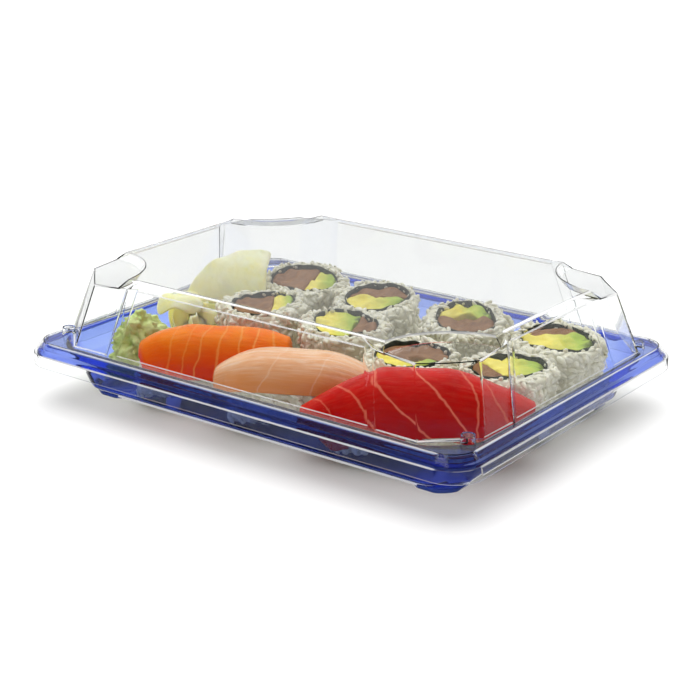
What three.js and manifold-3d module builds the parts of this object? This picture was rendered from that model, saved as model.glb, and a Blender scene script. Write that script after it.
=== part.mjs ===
// Takeaway sushi tray with its press-on lid: eight inside-out rolls, three nigiri, pickled ginger
// and wasabi. Millimetres, +Z up. +X runs along the long side, and the tray stands on z = 0.
import * as THREE from 'three';
import { mergeVertices } from 'three/addons/utils/BufferGeometryUtils.js';
import Module from 'manifold-3d';

const wasm = await Module();
wasm.setup();

// ---- driving sizes of the pack -------------------------------------------------------------
const RIM_LENGTH = 192;          // tray over its flat rim
const RIM_WIDTH = 141;
const RIM_Z = 21.5;              // top of the tray's rim
const BASE_Z = 1.8;              // underside of the base between the feet
const TRAY_WALL = 0.7;
const LID_WALL = 0.6;
const GAP = 0.35;                // clearance between pieces that touch
const FLOOR_Z = BASE_Z + TRAY_WALL;

const RIM_A = RIM_LENGTH / 2;
const RIM_B = RIM_WIDTH / 2;
const RIM_FLAT = 3.4;            // width of the flat rim
const SKIRT_OUT = 2.3;           // how far the rim's skirt flares out
const SKIRT_DROP = 4;

const FOOT_SIDE = 19;
const FOOT_CUT = 6;
const FOOT_A = 82.4;             // outer edges of the feet
const FOOT_B = 55.8;

const LID_BASE_Z = 22.5;         // where the dome's wall meets its flange
const LID_SHOULDER_Z = 47.3;     // lower line of the bevel round the top
const LID_TOP_Z = 50;
const LID_BASE_A = 92.3;
const LID_BASE_B = 66.2;
const LID_DRAFT = 6.1;           // how far the walls lean in from base to shoulder
const LID_BEVEL = 2.9;
const LID_CUT = 15;              // chamfer across each corner
const PANEL_REACH = 31;          // the corner panels stand this far from the corner
const PANEL_STEP = 4.5;          // and rise over this length
const PANEL_RAISE = 0.8;
const FLANGE_OUT = 3.5;
const FLANGE_Z = 13.6;           // lower edge of the lid's skirt

const DISH_RADIUS = 26.7;        // round dish pressed into each corner of the lid's top
const DISH_TOP_RADIUS = 29;
const DISH_EDGE_Z = 47;
const DISH_MIDDLE_Z = 45.2;

const NUB_AT = [90.2, 57.2];     // small raised nubs on the lid's flange
const NUB_RADIUS = 2.8;
const NUB_HEIGHT = 2.6;

// ---- driving sizes of the food -------------------------------------------------------------
const FOOD_Z = FLOOR_Z + GAP;
const ROLL_RADIUS = 18;
const ROLL_HEIGHT = 24.7;
const ROLL_FOOT = 2.2;           // rounding of a roll's lower edge
const NORI_RADIUS = 12.6;
const NORI_THICK = 0.6;
const ROLL_SIDES = 26;

// Each roll: place, turn in degrees, and where its tuna lies. tunaTurn is the direction of the
// tuna inside the nori and tunaShare the part of the nori's width that it fills. tall is added
// to the height, and slant is the slope in degrees of its cut top, higher at the back.
const ROLLS = [
  { at: [-53.8, 40.6], turn: 20, tunaTurn: 195, tunaShare: 0.64, tall: 0, slant: 9 },
  { at: [-17.3, 40.7], turn: 75, tunaTurn: 122, tunaShare: 0.40, tall: -1.2, slant: 7 },
  { at: [27.6, 37.2], turn: 130, tunaTurn: 300, tunaShare: 0.58, tall: 0, slant: 7 },
  { at: [66.4, 40.8], turn: 10, tunaTurn: 135, tunaShare: 0.30, tall: -0.9, slant: 5 },
  { at: [-46.3, 5.1], turn: 95, tunaTurn: 215, tunaShare: 0.66, tall: 0, slant: 0 },
  { at: [-5.6, 4.5], turn: 160, tunaTurn: 20, tunaShare: 0.34, tall: 0, slant: 3 },
  { at: [30.0, -2.6], turn: 40, tunaTurn: 110, tunaShare: 0.56, tall: -3, slant: 4 },
  { at: [67.0, 5.2], turn: 60, tunaTurn: 245, tunaShare: 0.30, tall: -2, slant: 1 },
];
const SLANT_TOWARDS = 127;       // direction in which the slanted tops rise

// Each nigiri: place of its middle, turn in degrees, half length of the slice, ends of the pad,
// half width and height of the pad, how far the slice's two tips bend down and how sharply,
// and how far its sides hang.
const NIGIRI = [
  {
    name: 'salmon', colour: 0xe8661f, at: [-36.5, -35.7], turn: 31,
    slice: 28.5, pad: [-31, 25], wide: 10, high: 21, drop: [3.5, 1], curve: 2.4, hang: 14,
  },
  {
    name: 'whitefish', colour: 0xe8b48f, at: [5.5, -38.0], turn: 27,
    slice: 29, pad: [-25, 24], wide: 10, high: 21, drop: [8, 5], curve: 2.4, hang: 9,
  },
  {
    name: 'tuna', colour: 0xb3201f, at: [55.0, -35.0], turn: 32,
    slice: 39.2, pad: [-28, 27], wide: 10.8, high: 24, drop: [12, 8], curve: 1.3, hang: 15,
  },
];
const SLICE_CLEAR = 0.9;         // between the pad and the slice over it
const SLICE_LEVEL = 0.25;        // share of a slice's half length that stays level
const SLICE_THICK = 5.2;
const SLICE_TIP = 3;             // shortest rounded tip of a slice
const SLICE_WRAP = 78;           // degrees that a slice wraps down each side of its pad

// ---- small helpers -------------------------------------------------------------------------
const rad = (degrees) => (degrees * Math.PI) / 180;
const lerp = (from, to, share) => from + (to - from) * share;

function paint(name, geometry, color, roughness) {
  const material = new THREE.MeshStandardMaterial({ color, roughness, metalness: 0 });
  const mesh = new THREE.Mesh(geometry, material);
  mesh.name = name;
  return mesh;
}

// Geometry from a list of points and a list of triangles.
function solid(points, triangles) {
  const geometry = new THREE.BufferGeometry();
  geometry.setAttribute('position', new THREE.Float32BufferAttribute(points.flat(), 3));
  geometry.setIndex(triangles);
  geometry.computeVertexNormals();
  return geometry;
}

// Skin through rings of equal length, listed from the top down with each ring anticlockwise
// seen from above. A closed skin joins its last ring to its first; an open one is capped with a
// fan at both ends.
function skin(rings, closed = false) {
  const count = rings[0].length;
  const points = rings.flat();
  const triangles = [];
  const last = closed ? rings.length : rings.length - 1;
  for (let i = 0; i < last; i += 1) {
    const upper = i * count;
    const lower = ((i + 1) % rings.length) * count;
    for (let j = 0; j < count; j += 1) {
      const next = (j + 1) % count;
      triangles.push(upper + j, lower + j, lower + next);
      triangles.push(upper + j, lower + next, upper + next);
    }
  }
  const addFan = (start, facesDown) => {
    const ring = points.slice(start, start + count);
    const middle = [0, 1, 2].map((k) => ring.reduce((sum, p) => sum + p[k], 0) / count);
    const centre = points.push(middle) - 1;
    for (let j = 0; j < count; j += 1) {
      const next = (j + 1) % count;
      const edge = facesDown ? [start + next, start + j] : [start + j, start + next];
      triangles.push(centre, ...edge);
    }
  };
  if (!closed) {
    addFan(0, false);
    addFan((rings.length - 1) * count, true);
  }
  return solid(points, triangles);
}

// Rectangle with cut or rounded corners. Weight 0 gives a straight cut, 0.7 a round corner.
const CORNER_STEPS = 6;
function outline(a, b, cut, weight, z) {
  const ring = [];
  for (const [sx, sy] of [[1, 1], [-1, 1], [-1, -1], [1, -1]]) {
    const from = sx * sy > 0 ? [a, b - cut] : [a - cut, b];
    const to = sx * sy > 0 ? [a - cut, b] : [a, b - cut];
    for (let i = 0; i <= CORNER_STEPS; i += 1) {
      const t = i / CORNER_STEPS;
      const w = [(1 - t) ** 2, 2 * t * (1 - t) * weight, t ** 2];
      const sum = w[0] + w[1] + w[2];
      const x = (w[0] * from[0] + w[1] * a + w[2] * to[0]) / sum;
      const y = (w[0] * from[1] + w[1] * b + w[2] * to[1]) / sum;
      ring.push([sx * x, sy * y, z]);
    }
  }
  return ring;
}

// Exchange with the solid modeller, for cuts and unions.
function toManifold(geometry) {
  const bare = geometry.clone();
  bare.deleteAttribute('normal');
  bare.deleteAttribute('uv');
  const merged = mergeVertices(bare, 1e-4);
  const vertProperties = new Float32Array(merged.attributes.position.array);
  const triVerts = new Uint32Array(merged.index.array);
  const mesh = new wasm.Mesh({ numProp: 3, vertProperties, triVerts });
  mesh.merge();
  return new wasm.Manifold(mesh);
}

function fromManifold(manifold) {
  const mesh = manifold.getMesh();
  const geometry = new THREE.BufferGeometry();
  const positions = [];
  for (let i = 0; i < mesh.vertProperties.length; i += mesh.numProp) {
    positions.push(...mesh.vertProperties.subarray(i, i + 3));
  }
  geometry.setAttribute('position', new THREE.Float32BufferAttribute(positions, 3));
  geometry.setIndex(Array.from(mesh.triVerts));
  geometry.computeVertexNormals();
  return geometry;
}

// ---- tray: pressed blue plastic, with a flat rim, a flared skirt and four hollow feet --------
function trayGeometry() {
  // half length, half width, corner cut, corner weight and height, from the floor's middle out
  // over the rim and back under it
  const inner = [
    [82.6, 56.1, 12, 0.45, FLOOR_Z],
    [85.5, 59.5, 13, 0.40, FLOOR_Z + 2.6],
    [88.2, 62.3, 14, 0.35, FLOOR_Z + 10.5],
    [RIM_A - RIM_FLAT - 0.9, RIM_B - RIM_FLAT - 0.9, 16, 0.30, RIM_Z - 1.2],
    [RIM_A - RIM_FLAT, RIM_B - RIM_FLAT, 16, 0.30, RIM_Z],
  ];
  const rim = [
    [RIM_A - 0.4, RIM_B - 0.4, 9, 0.70, RIM_Z],
    [RIM_A + SKIRT_OUT, RIM_B + SKIRT_OUT, 11, 0.70, RIM_Z - SKIRT_DROP],
    [RIM_A + SKIRT_OUT - 0.6, RIM_B + SKIRT_OUT - 0.6, 11, 0.70, RIM_Z - SKIRT_DROP - 0.3],
    [RIM_A - 0.8, RIM_B - 0.8, 9, 0.70, RIM_Z - TRAY_WALL],
  ];
  const outer = [
    [RIM_A - RIM_FLAT + 0.6, RIM_B - RIM_FLAT + 0.6, 16, 0.30, RIM_Z - TRAY_WALL],
    [88.9, 63.0, 14, 0.35, FLOOR_Z + 10.5],
    [86.2, 60.2, 13, 0.40, FLOOR_Z + 2.3],
    [83.0, 56.5, 12, 0.45, BASE_Z],
  ];
  const rings = [...inner, ...rim, ...outer].map((row) => outline(...row));
  let tray = toManifold(skin(rings));
  for (const [sx, sy] of [[1, 1], [-1, 1], [-1, -1], [1, -1]]) {
    const pad = (shrink, low, high) => {
      const half = FOOT_SIDE / 2 - shrink;
      const place = (z, taper) => outline(half - taper, half - taper, FOOT_CUT, 0.2, z)
        .map(([x, y]) => [x + sx * (FOOT_A - FOOT_SIDE / 2), y + sy * (FOOT_B - FOOT_SIDE / 2), z]);
      return toManifold(skin([place(high, 0), place(low, 0.8)]));
    };
    tray = tray.add(pad(0, 0, BASE_Z + 0.3));
    tray = tray.subtract(pad(TRAY_WALL, TRAY_WALL, FLOOR_Z + 1));
  }
  return fromManifold(tray);
}

// ---- lid: clear dome with chamfered corners, a bevelled top, corner dishes and a flange ------
// Outline of the dome, shrunk by inset: each corner has a slightly raised panel and a chamfer.
function lidRing(a, b, z, inset, raise = PANEL_RAISE) {
  const corner = [
    [a, b - PANEL_REACH - PANEL_STEP],
    [a + raise, b - PANEL_REACH],
    [a + raise, b - LID_CUT],
    [a - LID_CUT, b + raise],
    [a - PANEL_REACH, b + raise],
    [a - PANEL_REACH - PANEL_STEP, b],
  ];
  const ring = [];
  for (const [sx, sy] of [[1, 1], [-1, 1], [-1, -1], [1, -1]]) {
    const points = sx * sy > 0 ? corner : [...corner].reverse();
    for (const [x, y] of points) {
      const diagonal = x > a - LID_CUT - 1 && y > b - LID_CUT - 1;
      const slide = inset * (diagonal ? 0.98 : 1);
      ring.push([sx * (x - slide), sy * (y - slide), z]);
    }
  }
  return ring;
}

function dome(inset) {
  const top = LID_TOP_Z - inset;
  const shoulderA = LID_BASE_A - LID_DRAFT;
  const shoulderB = LID_BASE_B - LID_DRAFT;
  const base = inset > 0 ? LID_BASE_Z - 5 : LID_BASE_Z - LID_WALL;
  return skin([
    lidRing(shoulderA - LID_BEVEL, shoulderB - LID_BEVEL, top, inset, 0),
    lidRing(shoulderA, shoulderB, LID_SHOULDER_Z - inset * 0.4, inset, PANEL_RAISE * 0.6),
    lidRing(LID_BASE_A, LID_BASE_B, base, inset),
  ]);
}

function lidGeometry() {
  const cornerA = LID_BASE_A - LID_DRAFT;
  const cornerB = LID_BASE_B - LID_DRAFT;
  const dish = (grow, lower) => {
    const profile = [
      [0, DISH_MIDDLE_Z - lower],
      [DISH_RADIUS + grow, DISH_EDGE_Z - lower],
      [DISH_TOP_RADIUS + grow, LID_TOP_Z],
      [DISH_TOP_RADIUS + grow, LID_TOP_Z + 3],
      [0, LID_TOP_Z + 3],
    ].map(([x, y]) => new THREE.Vector2(x, y));
    return new THREE.LatheGeometry(profile, 56).rotateX(Math.PI / 2);
  };
  let outside = toManifold(dome(0));
  let inside = toManifold(dome(LID_WALL));
  for (const [sx, sy] of [[1, 1], [-1, 1], [-1, -1], [1, -1]]) {
    outside = outside.subtract(toManifold(dish(0, 0).translate(sx * cornerA, sy * cornerB, 0)));
    const wider = dish(LID_WALL, LID_WALL).translate(sx * cornerA, sy * cornerB, 0);
    inside = inside.subtract(toManifold(wider));
  }
  const upper = LID_BASE_Z;
  const under = LID_BASE_Z - LID_WALL;
  const middleZ = RIM_Z - SKIRT_DROP + 0.6;
  const round = [
    [RIM_A, RIM_B, 9.5, 0.70, upper],
    [RIM_A + FLANGE_OUT - 0.2, RIM_B + FLANGE_OUT - 0.2, 11.5, 0.70, middleZ],
    [RIM_A + FLANGE_OUT, RIM_B + FLANGE_OUT, 12, 0.70, FLANGE_Z],
    [RIM_A + FLANGE_OUT - 0.5, RIM_B + FLANGE_OUT - 0.5, 12, 0.70, FLANGE_Z],
    [RIM_A + FLANGE_OUT - 0.65, RIM_B + FLANGE_OUT - 0.65, 11, 0.70, middleZ - 0.1],
    [RIM_A - 0.2, RIM_B - 0.2, 9, 0.70, under],
  ].map((row) => outline(...row));
  const innerEdge = (z) => outline(LID_BASE_A - 1.2, LID_BASE_B - 1.2, LID_CUT, 0, z);
  const flange = skin([innerEdge(upper), ...round, innerEdge(under)], true);
  let lid = outside.add(toManifold(flange)).subtract(inside);
  for (const [sx, sy] of [[1, 1], [-1, 1], [-1, -1], [1, -1]]) {
    const nub = (shrink, low, high) => {
      const radius = NUB_RADIUS - shrink;
      const shape = new THREE.CylinderGeometry(radius - 0.4, radius, high - low, 14);
      shape.rotateX(Math.PI / 2);
      shape.translate(sx * NUB_AT[0], sy * NUB_AT[1], (low + high) / 2);
      return toManifold(shape);
    };
    lid = lid.add(nub(0, LID_BASE_Z - 0.3, LID_BASE_Z + NUB_HEIGHT));
    lid = lid.subtract(nub(LID_WALL, LID_BASE_Z - 2, LID_BASE_Z + NUB_HEIGHT - LID_WALL));
  }
  return fromManifold(lid);
}

// ---- rolls: rice outside, a nori loop, and tuna beside avocado inside it ---------------------
// Radius of the nori loop at an angle: an oval pressed a little flat.
function noriRadius(angle, offset) {
  return NORI_RADIUS + 1.3 * Math.cos(2 * angle) + 0.4 * Math.cos(3 * angle + 1) + offset;
}

function noriRing(offset, z) {
  const ring = [];
  for (let i = 0; i < ROLL_SIDES; i += 1) {
    const angle = (i / ROLL_SIDES) * 2 * Math.PI;
    const r = noriRadius(angle, offset);
    ring.push([r * Math.cos(angle), r * Math.sin(angle), z]);
  }
  return ring;
}

function riceRing(shrink, z, seed) {
  const ring = [];
  for (let i = 0; i < ROLL_SIDES; i += 1) {
    const angle = (i / ROLL_SIDES) * 2 * Math.PI;
    const bump = 0.22 * Math.sin(5 * angle + seed) + 0.18 * Math.sin(9 * angle + seed * 2 + z);
    const r = ROLL_RADIUS - 0.4 - shrink + bump;
    ring.push([r * Math.cos(angle), r * Math.sin(angle), z]);
  }
  return ring;
}

function rollRice(top, seed) {
  return skin([
    noriRing(GAP, top - 0.3),
    riceRing(2.4, top, seed),
    riceRing(0.4, top - 1.8, seed),
    riceRing(0, top * 0.5, seed),
    riceRing(0.4, ROLL_FOOT, seed),
    riceRing(ROLL_FOOT, 0, seed),
    noriRing(GAP, 0),
  ], true);
}

function rollNori(top) {
  return skin([
    noriRing(-NORI_THICK, top - 0.5),
    noriRing(0, top - 0.5),
    noriRing(0, 0.2),
    noriRing(-NORI_THICK, 0.2),
  ], true);
}

// One side of the nori's inside, cut by a straight line: side 1 is the tuna, -1 the avocado.
function rollFilling(roll, side, top) {
  const turn = rad(roll.tunaTurn - roll.turn);
  const across = [Math.cos(turn), Math.sin(turn)];
  const reach = NORI_RADIUS - NORI_THICK - GAP;
  const cut = reach * (1 - 2 * roll.tunaShare);
  const inside = noriRing(-NORI_THICK - GAP, 0).map(([x, y]) => [x, y]);
  const distance = ([x, y]) => side * (x * across[0] + y * across[1] - cut) - GAP / 2;
  const region = [];
  inside.forEach((point, i) => {
    const next = inside[(i + 1) % inside.length];
    const here = distance(point);
    const there = distance(next);
    if (here > 0) region.push(point);
    if (here > 0 !== there > 0) {
      const share = here / (here - there);
      region.push([lerp(point[0], next[0], share), lerp(point[1], next[1], share)]);
    }
  });
  const middle = [0, 1].map((k) => region.reduce((sum, p) => sum + p[k], 0) / region.length);
  const ring = (scale, z) => region.map(([x, y]) => [
    middle[0] + (x - middle[0]) * scale,
    middle[1] + (y - middle[1]) * scale,
    z,
  ]);
  return skin([ring(0.8, top), ring(1, top - 0.7), ring(1, 0.3)]);
}

// Tilts a roll's cut top: each point moves up or down by its height's share of the slant.
function slantTop(geometry, spec, top) {
  const position = geometry.attributes.position;
  const towards = rad(SLANT_TOWARDS - spec.turn);
  const slope = Math.tan(rad(spec.slant));
  for (let i = 0; i < position.count; i += 1) {
    const along = position.getX(i) * Math.cos(towards) + position.getY(i) * Math.sin(towards);
    const z = position.getZ(i);
    position.setZ(i, z + (z / top) * along * slope);
  }
  geometry.computeVertexNormals();
  return geometry;
}

function roll(spec, index) {
  const top = ROLL_HEIGHT + spec.tall;
  const name = `roll_${index + 1}`;
  const group = new THREE.Group();
  group.name = name;
  const pieces = [
    ['rice', rollRice(top, index + 1), 0xe9e6dc, 0.55],
    ['nori', rollNori(top), 0x20261d, 0.6],
    ['tuna', rollFilling(spec, 1, top), 0x8c5a4c, 0.45],
    ['avocado', rollFilling(spec, -1, top - 0.3), 0xd6cf62, 0.5],
  ];
  for (const [piece, geometry, colour, roughness] of pieces) {
    group.add(paint(`${name}_${piece}`, slantTop(geometry, spec, top), colour, roughness));
  }
  group.rotation.z = rad(spec.turn);
  group.position.set(spec.at[0], spec.at[1], FOOD_Z);
  return group;
}

// ---- nigiri: a pressed pad of rice under a draped slice of fish ------------------------------
// Share of the way from where a slice starts to bend down to its tip.
const bendShare = (x, half) => Math.max(0, Math.abs(x) / half - SLICE_LEVEL) / (1 - SLICE_LEVEL);

// Height of the slice's underside above the tray's floor, along its middle.
function underHeight(spec, x) {
  const drop = x < 0 ? spec.drop[0] : spec.drop[1];
  return spec.high + SLICE_CLEAR - drop * bendShare(x, spec.slice) ** spec.curve;
}

// Half width and height of the rice pad at x: full in the middle, round at both ends.
function padSection(spec, x) {
  const share = Math.min(0.985, x / (x < 0 ? spec.pad[0] : spec.pad[1]));
  const round = (1 - share ** 3) ** (1 / 2.6);
  const height = Math.min(spec.high * (0.4 + 0.6 * round), underHeight(spec, x) - SLICE_CLEAR);
  return [spec.wide * (0.4 + 0.6 * round), height];
}

const PAD_STATIONS = 13;
const PAD_SIDES = 16;
function nigiriPad(spec) {
  const rings = [];
  for (let i = 0; i < PAD_STATIONS; i += 1) {
    const x = lerp(spec.pad[0], spec.pad[1], i / (PAD_STATIONS - 1));
    const [halfWidth, height] = padSection(spec, x);
    const ring = [];
    for (let j = 0; j < PAD_SIDES; j += 1) {
      const angle = (j / PAD_SIDES) * 2 * Math.PI;
      const c = Math.cos(angle);
      const s = Math.sin(angle);
      const y = halfWidth * Math.sign(c) * Math.abs(c) ** 0.75;
      const z = (height / 2) * (1 + Math.sign(s) * Math.abs(s) ** 0.75);
      ring.push([x, y, z]);
    }
    rings.push(ring.reverse());
  }
  return skin(rings);
}

// The slice hangs over the pad and keeps clear of it. Past the pad it narrows to rounded tips.
function sliceSection(spec, x) {
  const reach = Math.min(spec.slice - SLICE_TIP, Math.abs(x < 0 ? spec.pad[0] : spec.pad[1]));
  const past = Math.max(0, (Math.abs(x) - reach) / (spec.slice - reach));
  const [padHalf] = padSection(spec, Math.sign(x) * Math.min(Math.abs(x), reach));
  return {
    halfWidth: (padHalf + SLICE_CLEAR + 0.1) * (1 - 0.5 * past ** 1.5),
    high: underHeight(spec, x),
    hang: spec.hang * lerp(1, 0.12, past),
    thick: SLICE_THICK * (1 - 0.5 * bendShare(x, spec.slice) ** 2),
  };
}

const SLICE_STATIONS = 19;
const SLICE_STEPS = 11;
function nigiriSlice(spec) {
  const points = [];
  const at = (i, j, outside) => (i * SLICE_STEPS + j) * 2 + (outside ? 1 : 0);
  for (let i = 0; i < SLICE_STATIONS; i += 1) {
    const spread = lerp(-1, 1, i / (SLICE_STATIONS - 1));
    const x = spec.slice * Math.sign(spread) * (1 - (1 - Math.abs(spread)) ** 1.15);
    const { halfWidth, high, hang, thick } = sliceSection(spec, x);
    for (let j = 0; j < SLICE_STEPS; j += 1) {
      const angle = rad(lerp(-SLICE_WRAP, SLICE_WRAP, j / (SLICE_STEPS - 1)));
      const s = Math.sin(angle);
      const c = Math.cos(angle);
      const skinThick = lerp(1.3, thick, Math.max(0, Math.cos(angle * 1.05)) ** 0.6);
      const y = halfWidth * Math.sign(s) * Math.abs(s) ** 0.8;
      const z = high - hang + hang * Math.max(0, c) ** 0.8;
      points.push([x, y, z]);
      points.push([x, y + skinThick * 0.55 * s, z + skinThick * (0.45 + 0.55 * c)]);
    }
  }
  const triangles = [];
  const quad = (a, b, c, d) => triangles.push(a, b, c, a, c, d);
  const lastStep = SLICE_STEPS - 1;
  for (let i = 0; i < SLICE_STATIONS - 1; i += 1) {
    for (let j = 0; j < lastStep; j += 1) {
      quad(at(i, j, true), at(i + 1, j, true), at(i + 1, j + 1, true), at(i, j + 1, true));
      quad(at(i, j, false), at(i, j + 1, false), at(i + 1, j + 1, false), at(i + 1, j, false));
    }
    quad(at(i, 0, false), at(i + 1, 0, false), at(i + 1, 0, true), at(i, 0, true));
    quad(
      at(i, lastStep, true),
      at(i + 1, lastStep, true),
      at(i + 1, lastStep, false),
      at(i, lastStep, false),
    );
  }
  const m = SLICE_STATIONS - 1;
  for (let j = 0; j < lastStep; j += 1) {
    quad(at(0, j, false), at(0, j, true), at(0, j + 1, true), at(0, j + 1, false));
    quad(at(m, j, true), at(m, j, false), at(m, j + 1, false), at(m, j + 1, true));
  }
  return solid(points, triangles);
}

function nigiri(spec) {
  const name = `nigiri_${spec.name}`;
  const group = new THREE.Group();
  group.name = name;
  group.add(paint(`${name}_rice`, nigiriPad(spec), 0xe9e6dc, 0.55));
  group.add(paint(`${name}_slice`, nigiriSlice(spec), spec.colour, 0.35));
  group.rotation.z = rad(spec.turn);
  group.position.set(spec.at[0], spec.at[1], FOOD_Z);
  return group;
}

// ---- wasabi and ginger -----------------------------------------------------------------------
// Lumpy mound: an oval dome with bumps, flat below.
function mound(halfX, halfY, height, bumps, seed) {
  const levels = [0.96, 0.8, 0.55, 0.2, 0];
  const sides = 18;
  const rings = levels.map((level) => {
    const ring = [];
    for (let i = 0; i < sides; i += 1) {
      const angle = (i / sides) * 2 * Math.PI;
      const wide = bumps * Math.sin(3 * angle + seed + level * 4);
      const fine = bumps * 0.6 * Math.sin(7 * angle + seed * 3);
      const r = Math.sqrt(1 - level ** 2) * (1 + wide + fine) * (level === 0 ? 0.6 : 1);
      ring.push([halfX * r * Math.cos(angle), halfY * r * Math.sin(angle), height * level]);
    }
    return ring;
  });
  return skin(rings);
}

// Thin oval slice, curled along its length.
function curledSlice(halfX, halfY, thick, curl, wave) {
  const sides = 20;
  const heightAt = (x, y) => curl * x * x + wave * Math.sin(y * 0.35 + x * 0.2);
  const ring = (scale, lift) => {
    const points = [];
    for (let i = 0; i < sides; i += 1) {
      const angle = (i / sides) * 2 * Math.PI;
      const x = halfX * scale * Math.cos(angle);
      const y = halfY * scale * Math.sin(angle);
      points.push([x, y, heightAt(x, y) + lift]);
    }
    return points;
  };
  return skin([
    ring(0.35, thick), ring(0.7, thick), ring(1, thick * 0.7),
    ring(1, 0), ring(0.7, 0), ring(0.35, 0),
  ]);
}

const WASABI = { at: [-78.9, -34], half: [6.4, 13.2], height: 19.5 };
const GINGER = { at: [-75.4, 3.6], half: [10.6, 20], height: 23 };
const GINGER_SLICES = [
  { at: [-70.6, 14.8, 33.2], half: [18.5, 10.5], tilt: [44, 0, 46], curl: -0.012, wave: 0.5 },
  { at: [-77, -9.5, 27.8], half: [9, 8.5], tilt: [10, 0, 30], curl: -0.02, wave: 0.4 },
];

// ---- the part ----------------------------------------------------------------------------------
const part = new THREE.Group();
part.name = 'takeaway_sushi_tray';
part.add(paint('tray', trayGeometry(), 0x3f5fc4, 0.25));
part.add(paint('lid', lidGeometry(), 0xe8eef2, 0.08));
ROLLS.forEach((spec, index) => part.add(roll(spec, index)));
NIGIRI.forEach((spec) => part.add(nigiri(spec)));

const wasabiShape = mound(...WASABI.half, WASABI.height, 0.06, 1);
const wasabi = paint('wasabi', wasabiShape, 0x9dbf4e, 0.7);
wasabi.position.set(WASABI.at[0], WASABI.at[1], FOOD_Z);
part.add(wasabi);

const heapShape = mound(...GINGER.half, GINGER.height, 0.05, 2);
const heap = paint('ginger_heap', heapShape, 0xe7dc98, 0.4);
heap.position.set(GINGER.at[0], GINGER.at[1], FOOD_Z);
part.add(heap);

GINGER_SLICES.forEach((spec, index) => {
  const shape = curledSlice(...spec.half, 1.3, spec.curl, spec.wave);
  const slice = paint(`ginger_slice_${index + 1}`, shape, 0xeee0a0, 0.35);
  slice.rotation.set(rad(spec.tilt[0]), rad(spec.tilt[1]), rad(spec.tilt[2]), 'ZXY');
  slice.position.set(...spec.at);
  part.add(slice);
});

export default part;
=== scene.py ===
from math import copysign, cos, degrees, dist, hypot, pi, radians, sin, sqrt, tan

import bmesh
import bpy
from mathutils import Matrix, Vector, noise


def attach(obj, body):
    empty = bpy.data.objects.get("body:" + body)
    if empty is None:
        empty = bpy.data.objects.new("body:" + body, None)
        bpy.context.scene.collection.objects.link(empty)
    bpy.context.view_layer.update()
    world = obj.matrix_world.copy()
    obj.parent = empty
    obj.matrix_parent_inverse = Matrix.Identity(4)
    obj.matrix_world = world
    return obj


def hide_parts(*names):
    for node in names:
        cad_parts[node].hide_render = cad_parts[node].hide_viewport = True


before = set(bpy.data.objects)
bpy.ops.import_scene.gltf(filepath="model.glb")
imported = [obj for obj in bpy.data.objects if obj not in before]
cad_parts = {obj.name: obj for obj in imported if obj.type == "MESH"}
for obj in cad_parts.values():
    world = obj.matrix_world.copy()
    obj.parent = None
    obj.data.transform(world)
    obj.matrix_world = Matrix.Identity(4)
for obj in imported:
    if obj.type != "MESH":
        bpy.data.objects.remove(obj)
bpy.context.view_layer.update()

# ==== Tray ====
# A shallow tray pressed from clear blue sheet, with sloping walls, a flat rim, a ribbed skirt
# that flares out below the rim, and four hollow feet.

MM = 0.001
TRAY_WALL = 0.7
TRAY_RIM_Z = 21.5
TRAY_INNER_ROWS = [  # half length, half width, corner cut, corner weight, height
    (82.6, 56.1, 12, 0.45, 2.5),
    (85.5, 59.5, 13, 0.4, 5.1),
    (88.2, 62.3, 14, 0.35, 13.0),
    (91.7, 66.2, 16, 0.3, 20.3),
    (92.6, 67.1, 16, 0.3, 21.5),
]
TRAY_RIM_ROWS = [
    (95.6, 70.1, 9, 0.7, 21.5),
    (96.7, 71.2, 10, 0.7, 19.9),
    (96.7, 71.2, 10, 0.7, 19.5),
    (97.9, 72.4, 11, 0.7, 18.9),
    (98.3, 72.8, 11, 0.7, 17.5),
    (97.7, 72.2, 11, 0.7, 17.2),
    (95.2, 69.7, 9, 0.7, 20.8),
]
TRAY_UNDER_ROWS = [
    (93.2, 67.7, 16, 0.3, 20.8),
    (88.9, 63.0, 14, 0.35, 13.0),
    (86.2, 60.2, 13, 0.4, 4.8),
    (83.0, 56.5, 12, 0.45, 1.8),
]
TRAY_BEND = 0.45  # radius of the tray's bends
TRAY_STRIP = 0.32  # strips of a bend are narrower than this
TRAY_BRIGHT_Z = (16.9, 21.3)  # the bends at the skirt's edge and the rim carry a painted highlight
FOOT_TOP_Z = 1.8  # the feet below this are painted a milky, deep blue: painted light standing in for light shining through them
TRAY_SKIRT = (94.2, 68.7)  # the skirt lies past these, and is painted a deeper blue: painted shade
FOOT_SIDE = 19
FOOT_CUT = 6
FOOT_OUTER = (82.4, 55.8)
QUARTERS = ((1, 1), (-1, 1), (-1, -1), (1, -1))


def mix(start, end, share):
    return start + (end - start) * share


def between(start, end, share):
    return tuple(mix(p, q, share) for p, q in zip(start, end))


def corner_outline(a, b, cut, weight, z, steps=12):
    """Rectangle with rounded corners, anticlockwise seen from above."""
    ring = []
    for sx, sy in QUARTERS:
        start, end = (a, b - cut), (a - cut, b)
        if sx * sy < 0:
            start, end = end, start
        for i in range(steps + 1):
            t = i / steps
            first, middle, last = (1 - t) ** 2, 2 * t * (1 - t) * weight, t * t
            total = first + middle + last
            x = (first * start[0] + middle * a + last * end[0]) / total
            y = (first * start[1] + middle * b + last * end[1]) / total
            ring.append((sx * x, sy * y, z))
    return ring


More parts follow.
